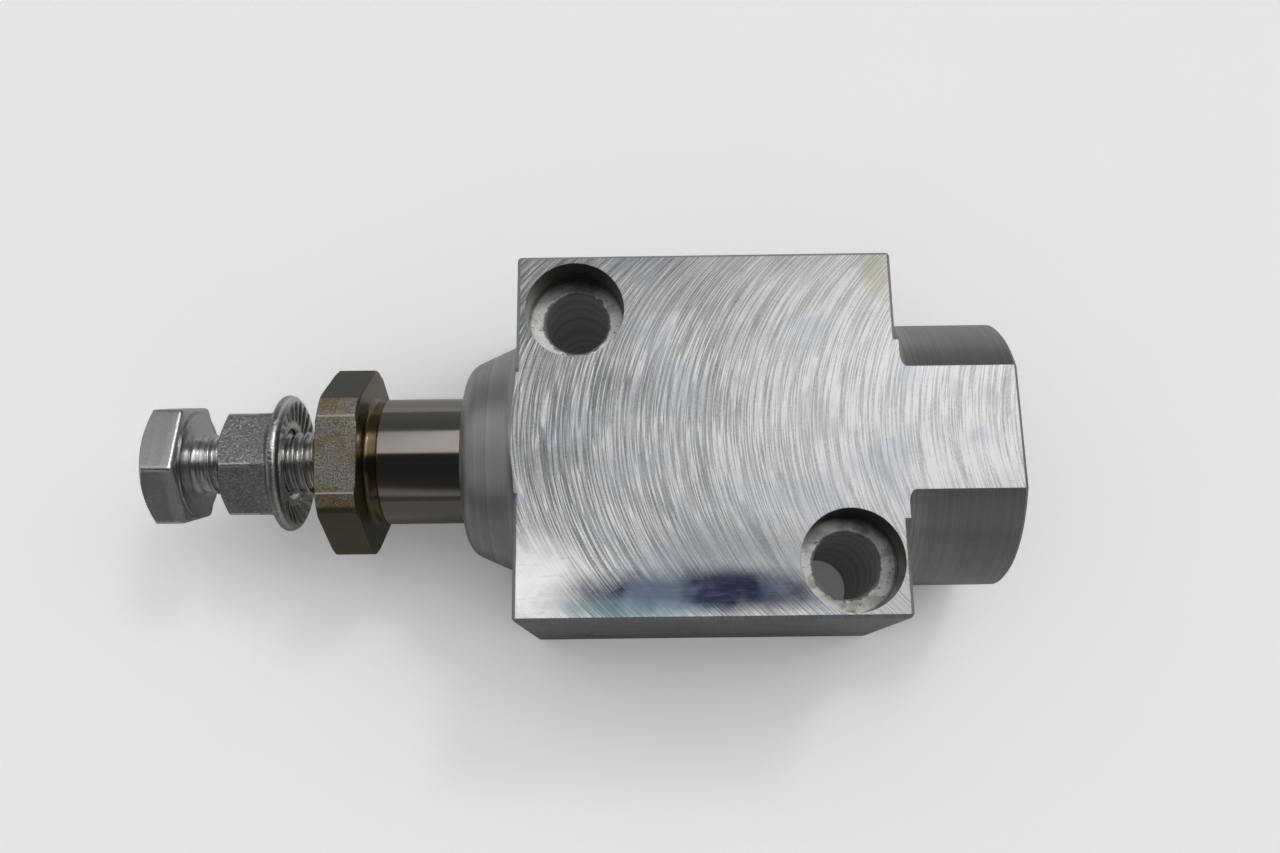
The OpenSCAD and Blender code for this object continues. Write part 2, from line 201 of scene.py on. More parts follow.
def inside_thread(x0, x1, angles, size, mouths):
    """Rings of an internal thread. Mouths are (x, radius) of its 45 degree countersinks."""
    steps = math.ceil((x1 - x0) / size["pitch"] * INSIDE_STEPS)
    rings = []
    for x in np.linspace(x0, x1, steps + 1):
        height = thread_height(x, angles, size["pitch"])
        r = size["major"] + THREAD_GAP - size["depth"] * (1 - height)
        for mouth_x, mouth_r in mouths:
            r = np.maximum(r, mouth_r - abs(x - mouth_x))
        rings.append((x, r))
    return rings


def hex_cone(angles, corner, across_flats, face_r, face_x, sharpness=90.0):
    """Rings of the 30 degree chamfer between a hexagon's flat face and its sides, and the sides' radius."""
    outer = hex_radius(angles, corner, across_flats, sharpness)
    rings = []
    for share in (0.0, 0.5, 1.0):
        r = face_r + share * (outer - face_r)
        rings.append((face_x + (r - face_r) * math.tan(math.radians(30)), r))
    return rings, outer


# ---------------------------------------------------------------- the striker bolt

HEAD_AF, HEAD_H, HEAD_CORNER = 18.0, 6.3, 16.5
HEAD_FACE_R = HEAD_AF * 0.465      # radius of the head's flat top and of its washer face
UNDER_R = 0.85      # rounding of the head's edge next to the washer face
WASHER_H = 0.4      # height of the washer face
NECK_R = 0.85       # fillet between head and neck
HEX_OFFSETS = (-30, -29, -27.5, -25, -20, -14, -7, 0, 7, 14, 20, 25, 27.5, 29)


def build_bolt():
    angles = hex_angles(HEAD_CORNER, HEX_OFFSETS)
    x_top, x_end = BOLT_LOW.x, BOLT_HIGH.x
    x_under = x_top + HEAD_H
    face_r = HEAD_FACE_R
    thread = dict(M10, depth=0.78)
    cone, outer = hex_cone(angles, HEAD_CORNER, HEAD_AF, face_r, x_top + 0.03)
    rings = [(x_top, 0.0), (x_top, face_r * 0.5), (x_top, face_r - 0.12)] + cone
    x_side = x_under - WASHER_H
    for lean in np.radians((0, 12, 24, 38, 55, 75)):
        rings.append((x_side - UNDER_R * (1 - math.sin(lean)), outer - UNDER_R * (1 - math.cos(lean))))
    rings += [(x_side, face_r + 0.12), (x_side + 0.06, face_r), (x_under - 0.08, face_r)]
    rings += [(x_under, face_r - 0.1), (x_under, 6.4)]
    rings += arc(x_under + NECK_R, 5.45, NECK_R, 180, 270, 5)[1:]
    rings += [(x_under + 1.1, 4.56)]
    rings += outside_thread(x_under + 1.3, x_end, angles, thread, 2.8, 1.0)
    rings += [(x_end, 2.0), (x_end, 0.0)]
    return add_mesh("striker_bolt", *lathe(rings, angles), "striker", "adjusting_bolt", "zinc_bolt", 50)


# ---------------------------------------------------------------- the serrated flange nut

NUT_AF, NUT_CORNER = 16.0, 14.0
FLANGE_R = (NUT_HIGH.z - NUT_LOW.z) / 2
TEETH = 26
NUT_THREAD = {"major": 5.48, "depth": 0.40, "pitch": 1.5}      # oversize, clear of the bolt at every position
TEETH_INNER_R, TEETH_OUTER_R = 6.9, FLANGE_R - 0.95
TOOTH_RISE, TOOTH_FALL = 0.7, 0.3      # shares of a tooth's pitch
SKIRT_R = 7.6       # radius at which the flange leaves the hexagon
NUT_SKIRT_L = 3.5   # from there to the bearing face


def build_nut():
    angles = even_angles(TEETH * 10)
    x0, x1 = NUT_LOW.x, NUT_HIGH.x
    sharpness = 46.0
    mouth = 5.75
    recess_x = x1 - 0.68
    face_r = NUT_AF * 0.47
    cone, outer = hex_cone(angles, NUT_CORNER, NUT_AF, face_r, x0 + 0.05, sharpness)
    rings = [(x0, mouth), (x0, (mouth + face_r) / 2), (x0, face_r - 0.15)] + cone
    x_cone = x1 - NUT_SKIRT_L
    rim_x, rim_r = x1 - 1.05, 0.95
    rings += [(x_cone - 1.5, outer), (x_cone, outer)]
    skirt_x = rim_x - 0.65
    for x in np.linspace(x_cone, skirt_x, 12)[1:]:
        skirt = SKIRT_R + (FLANGE_R - 0.5 - SKIRT_R) * ((x - x_cone) / (skirt_x - x_cone)) ** 1.4
        rings.append((x, 0.5 * (outer + skirt + np.sqrt((outer - skirt) ** 2 + 0.16))))
    rings += arc(rim_x, FLANGE_R - rim_r, rim_r, 125, 10, 9)
    for r in np.linspace(TEETH_OUTER_R, TEETH_INNER_R, 11):
        rings.append(serration_ring(r, x1, angles))
    rings += [(x1 - 0.75, 6.75), (x1 - 0.80, 6.45), (recess_x, 6.1), (recess_x, mouth)]
    rings += inside_thread(x0, recess_x, angles, NUT_THREAD, ((x0, mouth), (recess_x, mouth)))[::-1]
    points, faces = lathe(rings, angles, closed=True)
    return add_mesh("lock_nut_flanged", points, faces, "locking", "lock_nut", "zinc_nut", 40)


def serration_ring(r, x1, angles):
    """One ring of the dished bearing face, cut with rounded teeth that lean a little around the nut."""
    share = (r - TEETH_INNER_R) / (TEETH_OUTER_R - TEETH_INNER_R)
    swirl = math.radians(16) * (1 - share)
    tooth = (angles + swirl) * TEETH / FULL
    tooth = tooth - np.floor(tooth)
    rise = np.sin(tooth / TOOTH_RISE * math.pi / 2)
    fall = np.cos((tooth - TOOTH_RISE) / TOOTH_FALL * math.pi / 2)
    height = np.where(tooth < TOOTH_RISE, rise, fall)
    cut = 0.46 * math.sin(math.pi * min(1.0, 0.10 + 0.90 * share)) ** 0.6
    return x1 - 0.55 * (1 - share) ** 1.2 - cut * (1 - height), r


# ---------------------------------------------------------------- the plunger

HEX_AF, HEX_D, HEX_L, HEX_CORNER = 27.0, 29.5, 6.3, 37.6
UNDERCUT_L = 1.95
STEM_R, TAIL_R = 10.0, 8.0
TAPPED_L = 25.0
PIN_HOLE_R = 2.5
EDGE = 0.6          # chamfer of the stem's and the tail's ends
WIRE_R = 0.62       # radius of the snap ring's groove
TURNED_OFFSET = math.degrees(math.acos(HEX_AF / HEX_D))
PLUNGER_OFFSETS = (-30, -27, -TURNED_OFFSET, -20, -15, -10, -5, 0, 5, 10, 15, 20, TURNED_OFFSET, 27)


def build_plunger():
    angles = hex_angles(HEX_CORNER, PLUNGER_OFFSETS)
    x_hex, x_tail = PLUNGER_LOW.x, PLUNGER_HIGH.x
    x_in = x_hex + HEX_L
    x_stem = x_in + UNDERCUT_L
    x_shoulder = STOP_LOW.x
    mouth = 5.7
    flats = hex_radius(angles, HEX_CORNER, HEX_AF, 400.0)
    outer = np.minimum(flats, HEX_D / 2)
    corner_break = np.minimum(flats, HEX_D / 2 - 0.43)
    bottom = x_hex + TAPPED_L
    rings = [(bottom + 2.4, 0.0), (bottom, M10["major"] - M10["depth"])]
    rings += inside_thread(x_hex, bottom, angles, M10, ((x_hex, mouth),))[::-1]
    rings += [(x_hex, mouth + 0.1), (x_hex, 9.0), (x_hex, 12.6), (x_hex, corner_break - 0.12)]
    rings += [(x_hex + 0.12, corner_break), (x_hex + 0.27, outer)]
    rings += [(x_in - 0.27, outer), (x_in - 0.12, corner_break)]
    rings += [(x_in, corner_break - 0.12), (x_in, 12.6), (x_in, 12.0)]
    rings += arc(x_in + 0.8, 10.35, 0.8, 180, 270, 5)
    rings += [(x_stem - 0.1, 9.55), (x_stem, 9.62), (x_stem, STEM_R - 0.22), (x_stem + 0.08, STEM_R - 0.08)]
    rings += [(x_stem + 0.25, STEM_R)]
    rings += [(x, STEM_R) for x in np.linspace(x_stem + 1, x_shoulder - 0.8, 8)]
    rings += [(x_shoulder - EDGE, STEM_R), (x_shoulder, STEM_R - EDGE), (x_shoulder, TAIL_R)]
    wire_x = x_shoulder + STOP_HIGH.x - STOP_LOW.x + WIRE_R
    rings += arc(wire_x, TAIL_R, WIRE_R, 180, 360, 6)
    rings += [(x_tail - EDGE, TAIL_R), (x_tail, TAIL_R - EDGE)]
    rings += [(x_tail, PIN_HOLE_R), (PIN_LOW.x, PIN_HOLE_R), (PIN_LOW.x, 0.0)]
    return add_mesh("plunger_stem", *lathe(rings, angles), "plunger_set", "plunger", "oxide_steel", 15)


# ---------------------------------------------------------------- springs

def coil_rise(turn, turns, wire, length):
    """Height of the wire's centre after some turns of a spring with one closed turn at each end."""
    pitch = (length - 3 * wire) / (turns - 2)
    if turn < 1:
        return turn * wire
    if turn < turns - 1:
        return wire + (turn - 1) * pitch
    return length - wire - (turns - turn) * wire


def build_spring(name, node, wire_r, turns):
    """A round-wire compression spring with one closed turn at each end, sized from its CAD node in
    millimetres.
    """
    low, high = span(node)
    length = high.x - low.x
    mean_r = (high.z - low.z) / 2 - wire_r
    per_turn, sides = 40, 12
    steps = int(turns * per_turn)
    points, faces = [], []
    for i in range(steps + 1):
        turn = i / per_turn
        x = low.x + wire_r + coil_rise(turn, turns, 2 * wire_r, length)
        for k in range(sides):
            lean = FULL * k / sides
            r = mean_r + wire_r * math.cos(lean)
            a = FULL * turn
            points.append((x + wire_r * math.sin(lean), r * math.cos(a), AXIS_Z + r * math.sin(a)))
    for i in range(steps):
        for k in range(sides):
            m = (k + 1) % sides
            faces.append((i * sides + k, i * sides + m, (i + 1) * sides + m, (i + 1) * sides + k))
    faces += [tuple(range(sides)), tuple(range(steps * sides, (steps + 1) * sides))]
    piece = add_mesh(name, points, faces, "housing", node, "spring_steel")
    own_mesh(piece)
    return piece


# ---------------------------------------------------------------- the block

PORT_L = 16.0       # depth of the inlet port's wall, countersink included
PORT_WALL_R, PORT_MOUTH_R = 12.15, 13.5


def build_block():
    """The CAD block with the plain wall of its inlet port swapped for a helical thread."""
    port_x, thread_x = BODY_HIGH.x, BODY_HIGH.x - PORT_L
    wall_r, mouth_r = PORT_WALL_R, PORT_MOUTH_R
    bm = bmesh.new()
    bm.from_mesh(frame["nodes"]["valve_body"].data)
    bmesh.ops.remove_doubles(bm, verts=bm.verts, dist=2e-6)

    def in_port(v):
        x, r = v.co.x / MM, math.hypot(v.co.y, v.co.z - AXIS_Z * MM) / MM
        return x > thread_x - 0.02 and wall_r - 0.05 < r < mouth_r + 0.02

    wall = [f for f in bm.faces if all(in_port(v) for v in f.verts)]
    bmesh.ops.delete(bm, geom=wall, context="FACES")
    rims = [e for e in bm.edges if e.is_boundary]
    angles = even_angles(144)
    size = dict(G34, major=G34["major"] - THREAD_GAP)
    rings = inside_thread(thread_x + 0.25, port_x - 0.1, angles, size, ((port_x, mouth_r),))
    first = rings[0][0]
    rings = [(x, np.minimum(r, wall_r + 1.5 * (x - first))) if x - first < 1 else (x, r) for x, r in rings]
    points, faces = lathe(rings, angles)
    verts = [bm.verts.new(tuple(p * MM for p in point)) for point in points]
    for face in faces:
        bm.faces.new([verts[i] for i in face])
    ends = [e for e in bm.edges if e.is_boundary and e not in set(rims)]
    for near in (True, False):
        def is_near(e):
            return (e.verts[0].co.x / MM < (thread_x + port_x) / 2) == near
        bmesh.ops.bridge_loops(bm, edges=[e for e in rims + ends if is_near(e)])
    bmesh.ops.recalc_face_normals(bm, faces=bm.faces)
    mesh = bpy.data.meshes.new("valve_block")
    bm.to_mesh(mesh)
    bm.free()
    if "custom_normal" in mesh.attributes:
        mesh.attributes.remove(mesh.attributes["custom_normal"])
    return finish_piece("valve_block", mesh, "housing", "valve_body", "zinc_steel_block", 20)


# ---------------------------------------------------------------- shader graphs

class Graph:
    """A material's node tree, written as arithmetic. Lengths inside it are in millimetres."""

    def __init__(self, name, tree=None):
        if tree is None:
            self.material = bpy.data.materials.new(name)
            self.material.use_nodes = True
            tree = self.material.node_tree
        self.tree = tree
        self.tree.nodes.clear()
        metres = self.node("ShaderNodeTexCoord").outputs["Object"]
        self.place = self.math_vector("SCALE", metres, scale=1 / MM)
        self.x, self.y, self.z = self.split(self.place)
        self.normal = self.node("ShaderNodeNewGeometry").outputs["Normal"]

    def node(self, kind, **settings):
        made = self.tree.nodes.new(kind)
        for key, value in settings.items():
            setattr(made, key, value)
        return made

    def put(self, socket, value):
        if isinstance(value, bpy.types.NodeSocket):
            self.tree.links.new(value, socket)
        elif value is not None:
            socket.default_value = value

    def math(self, operation, a, b=None):
        made = self.node("ShaderNodeMath", operation=operation)
        for socket, value in zip(made.inputs, (a, b)):
            self.put(socket, value)
        return made.outputs[0]

    def add(self, *terms):
        total = terms[0]
        for term in terms[1:]:
            total = self.math("ADD", total, term)
        return total

    def times(self, *factors):
        total = factors[0]
        for factor in factors[1:]:
            total = self.math("MULTIPLY", total, factor)
        return total

    def swing(self, value, *factors):
        """How far a noise value is from its middle, times the factors."""
        return self.times(self.math("SUBTRACT", value, 0.5), *factors)

    def math_vector(self, operation, a, b=None, scale=None):
        made = self.node("ShaderNodeVectorMath", operation=operation)
        self.put(made.inputs[0], a)
        if b is not None:
            self.put(made.inputs[1], b)
        if scale is not None:
            made.inputs["Scale"].default_value = scale
        return made.outputs["Value"] if operation in ("DOT_PRODUCT", "LENGTH") else made.outputs["Vector"]

    def split(self, vector):
        made = self.node("ShaderNodeSeparateXYZ")
        self.put(made.inputs[0], vector)
        return made.outputs[0], made.outputs[1], made.outputs[2]

    def join(self, x, y, z):
        made = self.node("ShaderNodeCombineXYZ")
        for socket, value in zip(made.inputs, (x, y, z)):
            self.put(socket, value)
        return made.outputs[0]

    def noise(self, vector, scale=1.0, detail=3.0, roughness=0.55, distortion=0.0):
        made = self.node("ShaderNodeTexNoise")
        self.put(made.inputs["Vector"], vector)
        settings = {"Scale": scale, "Detail": detail, "Roughness": roughness, "Distortion": distortion}
        for key, value in settings.items():
            made.inputs[key].default_value = value
        return made.outputs["Fac"]

    def remap(self, value, low, high, to_low=0.0, to_high=1.0):
        """Smooth step of value from low..high to to_low..to_high."""
        made = self.node("ShaderNodeMapRange", interpolation_type="SMOOTHSTEP")
        for key, number in (("Value", value), ("From Min", low), ("From Max", high), ("To Min", to_low),
                            ("To Max", to_high)):
            self.put(made.inputs[key], number)
        return made.outputs["Result"]

    def mix(self, share, a, b):
        """Colour between a and b."""
        made = self.node("ShaderNodeMix", data_type="RGBA")
        self.put(made.inputs[0], share)
        self.put(made.inputs[6], colour(a))
        self.put(made.inputs[7], colour(b))
        return made.outputs[2]

    def blend(self, share, a, b):
        """Number between a and b."""
        made = self.node("ShaderNodeMix", data_type="FLOAT")
        self.put(made.inputs[0], share)
        self.put(made.inputs[2], a)
        self.put(made.inputs[3], b)
        return made.outputs[0]

    def blend_vector(self, share, a, b):
        made = self.node("ShaderNodeMix", data_type="VECTOR")
        self.put(made.inputs[0], share)
        self.put(made.inputs[4], a)
        self.put(made.inputs[5], b)
        return made.outputs[1]

    def bump(self, height, normal):
        """Bump from a height in millimetres."""
        made = self.node("ShaderNodeBump")
        made.inputs["Strength"].default_value = 1.0
        made.inputs["Distance"].default_value = MM
        self.put(made.inputs["Height"], height)
        self.put(made.inputs["Normal"], normal)
        return made.outputs["Normal"]

    def soft_edges(self, radius):
        """Normal that rounds the mesh's edges by a radius in millimetres."""
        made = self.node("ShaderNodeBevel", samples=4)
        made.inputs["Radius"].default_value = radius * MM
        return made.outputs["Normal"]

    def edge_wear(self, rounded, low=0.02, high=0.25):
        """1 on rounded edges and 0 on open surfaces."""
        lean = self.math_vector("DOT_PRODUCT", rounded, self.normal)
        return self.remap(self.math("SUBTRACT", 1.0, lean), low, high)

    def surface(self, base, metallic, roughness, normal=None, anisotropic=0.0, tangent=None, **extra):
        shader = self.node("ShaderNodeBsdfPrincipled")
        values = {"Base Color": colour(base), "Metallic": metallic, "Roughness": roughness, "Normal": normal,
                  "Anisotropic": anisotropic, "Tangent": tangent}
        values.update(extra)
        for key, value in values.items():
            self.put(shader.inputs[key], value)
        self.put(self.node("ShaderNodeOutputMaterial").inputs["Surface"], shader.outputs[0])
        return self.material


def colour(value):
    """Adds the alpha that colour sockets need, and passes sockets and None through."""
    return tuple(value) + (1.0,) if isinstance(value, (tuple, list)) and len(value) == 3 else value


def dimmed(tint, share):
    """A colour at a share of its brightness, at most white."""
    return tuple(min(1.0, part * share) for part in tint)


def turned_coordinates(g):
    """Distance from the plunger axis, and the vector away from it."""
    height = g.math("SUBTRACT", g.z, AXIS_Z)
    away = g.join(0.0, g.y, height)
    return g.math_vector("LENGTH", away), away


# ---------------------------------------------------------------- materials

CUTTER_R = 36.0     # radius of the face mill's sweeps
CUTTER_Y = 0.0      # height across the block at which the sweeps run straight
SCREW_HOLES = [Vector(hole) for hole in ((-19.4, 18.65), (19.9, -19.15))]
SCREW_HEAD_R = 7.4      # counterbore
SCREW_HOLE_R = 4.85
HOLE_FILL = 0.03        # faint emission of the drilled walls, which are too black without it
BOSS_X = 30.0       # the port boss is darker from here on


def milled_marks(g):
    """Face-mill sweeps: broad and thin lines, from 0 to 1 around 0.5, and the direction across them."""
    lean = g.math("DIVIDE", g.math("SUBTRACT", g.y, CUTTER_Y), CUTTER_R)
    lean = g.math("MINIMUM", g.math("MAXIMUM", lean, -0.95), 0.95)
    rise = g.math("SQRT", g.math("SUBTRACT", 1.0, g.times(lean, lean)))
    sweep = g.math("SUBTRACT", g.x, g.times(g.math("SUBTRACT", 1.0, rise), CUTTER_R))
    along = g.times(g.y, 0.025)
    wide = g.noise(g.join(sweep, along, 3.0), 0.8, 1.0, 0.5)
    line = g.noise(g.join(sweep, along, 7.0), 3.3, 1.0, 0.5)
    fine = g.noise(g.join(sweep, g.times(along, 2.0), 11.0), 6.5, 2.0, 0.7)
    across = g.join(rise, g.times(lean, -1.0), 0.0)
    return wide, line, fine, across


def zinc_block():
    """Zinc over milled faces, turned ends and drilled holes. Some of the milled face's light and the
    counterbores' shade are painted.
    """
    g = Graph("zinc_steel_block")
    nx, _, nz = g.split(g.normal)
    radius, away = turned_coordinates(g)
    flat = g.remap(g.math("ABSOLUTE", nz), 0.93, 0.985)
    at_top = g.remap(g.z, BODY_T - 0.25, BODY_T - 0.1)
    at_skin = g.math("MAXIMUM", at_top, g.remap(g.z, 0.1, 0.25, 1.0, 0.0))
    milled = g.times(flat, at_skin)
    end_face = g.remap(g.math("ABSOLUTE", nx), 0.8, 0.97)
    side = g.math("SUBTRACT", 1.0, milled)

    wide, line, fine, across = milled_marks(g)
    grain = g.noise(g.place, 7.5, 2.0, 0.6)
    patch = g.noise(g.place, 0.16, 4.0, 0.6, 0.4)
    cloud = g.noise(g.place, 0.055, 3.0, 0.6)
    stripe = g.remap(line, 0.38, 0.62, -1.0, 1.0)
    # painted highlight: thin bright lines along the mill's sweeps, painted as glints
    painted_glint_lines = g.remap(g.math("ABSOLUTE", g.math("SUBTRACT", line, 0.56)), 0.0, 0.045, 1.0, 0.0)
    painted_glint_lines = g.times(painted_glint_lines, g.remap(g.noise(g.place, 0.14, 2.0, 0.5), 0.30, 0.55))
    depth = g.remap(g.add(g.x, g.swing(patch, 40.0)), -30.0, 34.0, 1.0, 0.85)
    # painted light: the milled face is painted lighter towards the port boss; the mix below also holds the
    # mill's lines and random tone
    painted_light_side = g.remap(g.x, -22.0, 30.0, 0.0, 0.44)
    marks_and_painted_light = g.add(0.35, painted_light_side, g.times(stripe, depth, 0.20), g.times(painted_glint_lines, depth, 1.0),
                  g.swing(wide, depth, 0.36), g.swing(fine, 0.90), g.swing(grain, 0.90), g.swing(cloud, 0.7))

    hole = hole_distance(g)
    below_face = g.remap(g.z, BODY_T - 0.01, BODY_T - 0.06)
    in_hole = g.times(g.remap(hole, SCREW_HEAD_R + 0.1, SCREW_HEAD_R), below_face)
    drilled = g.remap(hole, 5.2, 5.0)
    marks_x = g.blend(in_hole, g.x, g.z)
    marks_r = g.blend(in_hole, radius, hole)
    ring_marks = g.noise(g.join(marks_x, marks_r, 5.0), 4.5, 3.0, 0.65)
    coarse_rings = g.noise(g.join(marks_x, marks_r, 9.0), 0.7, 1.0, 0.5)

    milled_height = g.add(g.times(line, 0.014), g.times(wide, 0.012), g.times(fine, 0.005))
    turned_height = g.add(g.times(ring_marks, 0.006), g.times(coarse_rings, in_hole, 0.05))
    height = g.add(g.blend(milled, turned_height, milled_height), g.times(grain, 0.0030))
    rounded = g.soft_edges(0.16)
    normal = g.bump(height, rounded)
    wear = g.edge_wear(rounded)

    face = g.mix(marks_and_painted_light, (0.22, 0.245, 0.26), (1.0, 1.0, 1.0))
    face = stained(g, face, patch)
    turned = g.mix(cloud, (0.52, 0.54, 0.54), (0.66, 0.67, 0.665))
    turned = g.mix(g.times(g.remap(ring_marks, 0.40, 0.62), 0.45), turned, (0.34, 0.355, 0.35))
    turned = g.mix(g.times(g.remap(patch, 0.50, 0.72), 0.45), turned, (0.42, 0.43, 0.40))
    turned = g.mix(g.times(g.remap(g.x, BOSS_X, BOSS_X + 2.0), 0.45), turned, (0.33, 0.34, 0.33))
    turned = g.mix(g.times(in_hole, g.remap(patch, 0.35, 0.6), 0.55), turned, (0.60, 0.57, 0.42))
    # painted shade: the counterbore walls are darkened
    shaded_counterbore_wall = g.times(in_hole, g.remap(g.math("ABSOLUTE", nz), 0.7, 0.3))
    turned = g.mix(g.times(shaded_counterbore_wall, 0.65), turned, (0.17, 0.165, 0.14))
    bored = g.mix(g.remap(coarse_rings, 0.38, 0.62), (0.42, 0.42, 0.40), (0.56, 0.57, 0.56))
    turned = g.mix(g.times(drilled, 0.8), turned, bored)

    floor = g.times(in_hole, g.remap(nz, 0.8, 0.95))
    ragged = g.swing(g.noise(g.place, 0.9, 3.0, 0.7), 1.2)
    rim = g.math("SUBTRACT", g.add(hole, ragged), SCREW_HOLE_R)
    scuffed = g.remap(g.noise(g.place, 0.30, 3.0, 0.65), 0.46, 0.62)
    pits = g.remap(g.noise(g.place, 1.5, 1.0, 0.5), 0.34, 0.27)
    turned = g.mix(g.times(floor, 0.70), turned, (0.92, 0.93, 0.92))
    turned = g.mix(g.times(floor, scuffed, 0.60), turned, (0.30, 0.30, 0.27))
    turned = g.mix(g.times(floor, pits, 0.75), turned, (0.10, 0.10, 0.09))
    # painted shade: each counterbore floor is darkened on its side further up the face, with ragged edges
    painted_shade_up_side = g.remap(g.add(hole_rise(g), g.swing(patch, 5.0)), 1.5, 6.5)
    turned = g.mix(g.times(floor, painted_shade_up_side, 0.60), turned, (0.16, 0.15, 0.13))
    # painted shade: a dark ring on the counterbore floor along the foot of its wall
    painted_corner_shade = g.remap(hole, SCREW_HEAD_R - 0.45, SCREW_HEAD_R - 0.2)
    turned = g.mix(g.times(floor, painted_corner_shade, 0.7), turned, (0.15, 0.15, 0.14))
    turned = g.mix(g.times(floor, g.remap(rim, 0.50, 0.20), 0.8), turned, (0.08, 0.08, 0.07))

    base = g.mix(milled, turned, face)
    base = g.mix(g.times(wear, side, 0.4), base, (0.80, 0.81, 0.80))

    along = g.join(1.0, 0.0, 0.0)
    turned_tangent = g.blend_vector(end_face, along, g.math_vector("NORMALIZE", away))
    tangent = g.blend_vector(milled, turned_tangent, across)
    rough = g.blend(milled, g.add(0.34, g.times(patch, 0.14)), g.add(0.33, g.times(patch, 0.06)))
    rough = g.math("MAXIMUM", rough, g.times(drilled, 0.45))
    metallic = g.math("SUBTRACT", 1.0, g.times(drilled, 0.75))
    fill = {"Emission Color": base, "Emission Strength": g.times(drilled, HOLE_FILL)}
    return g.surface(base, metallic, rough, normal, g.blend(milled, 0.5, 0.95), tangent, **fill)


def hole_distance(g):
    """Distance to the axis of the nearer screw hole."""
    reach = []
    for hole in SCREW_HOLES:
        off = g.join(g.math("SUBTRACT", g.x, hole.x), g.math("SUBTRACT", g.y, hole.y), 0.0)
        reach.append(g.math_vector("LENGTH", off))
    return g.math("MINIMUM", *reach)


def hole_rise(g):
    """How far a point lies up the face from the nearer screw hole's axis."""
    upper, lower = SCREW_HOLES
    axis_y = g.blend(g.remap(g.y, -0.5, 0.5), lower.y, upper.y)
    return g.math("SUBTRACT", g.y, axis_y)


def stained(g, base, patch):
    """Marks on the milled face: a painted highlight on the low left corner beside a darker spot, a
    blue-violet band with a teal edge, a yellow corner, and faint blue and olive clouds."""
    def spot(x, y, reach_x, reach_y, ragged=1.4):
        dx = g.math("DIVIDE", g.math("SUBTRACT", g.x, x), reach_x)
        dy = g.math("DIVIDE", g.math("SUBTRACT", g.y, y), reach_y)
        far = g.math("SQRT", g.add(g.times(dx, dx), g.times(dy, dy)))
        return g.remap(g.add(far, g.swing(patch, ragged)), 1.15, 0.35)

    half_w = BODY_W / 2
    rubbed = g.noise(g.join(g.times(g.x, 0.10), g.y, 2.0), 3.2, 2.0, 0.6)
    # painted highlight: the low left corner is painted almost white
    painted_highlight_corner = spot(-26.0, 5.0 - half_w, 9.5, 9.0, 0.7)
    base = g.mix(g.times(painted_highlight_corner, g.remap(rubbed, 0.25, 0.45, 0.65, 1.0)), base, (1.0, 1.0, 0.99))
    # a darker spot low in the middle of the face
    darker_spot = spot(3.0, 9.0 - half_w, 18.0, 6.0, 0.8)
    base = g.mix(g.times(darker_spot, 0.40), base, (0.26, 0.29, 0.32))
    blue = spot(-1.5, 3.9 - half_w, 24.0, 3.8, 0.7)
    violet = g.mix(g.noise(g.place, 0.13, 2.0, 0.5), (0.018, 0.036, 0.085), (0.036, 0.030, 0.080))
    violet = g.mix(g.times(g.remap(rubbed, 0.45, 0.75), 0.5), violet, (0.09, 0.125, 0.18))
    base = g.mix(g.times(blue, 0.98), base, violet)
    teal = spot(-12.0, 1.8 - half_w, 13.0, 1.8, 0.8)
    base = g.mix(g.times(teal, 0.55), base, (0.14, 0.26, 0.29))
    yellow = spot(26.0, half_w - 3.5, 2.4, 4.5)
    base = g.mix(g.times(yellow, 0.40), base, (0.62, 0.56, 0.34))
    cloud = g.noise(g.math_vector("ADD", g.place, (40.0, 9.0, 0.0)), 0.10, 3.0, 0.6)
    base = g.mix(g.times(g.remap(cloud, 0.50, 0.66), 0.30), base, (0.44, 0.52, 0.64))
    return g.mix(g.times(g.remap(cloud, 0.44, 0.30), 0.25), base, (0.50, 0.52, 0.42))


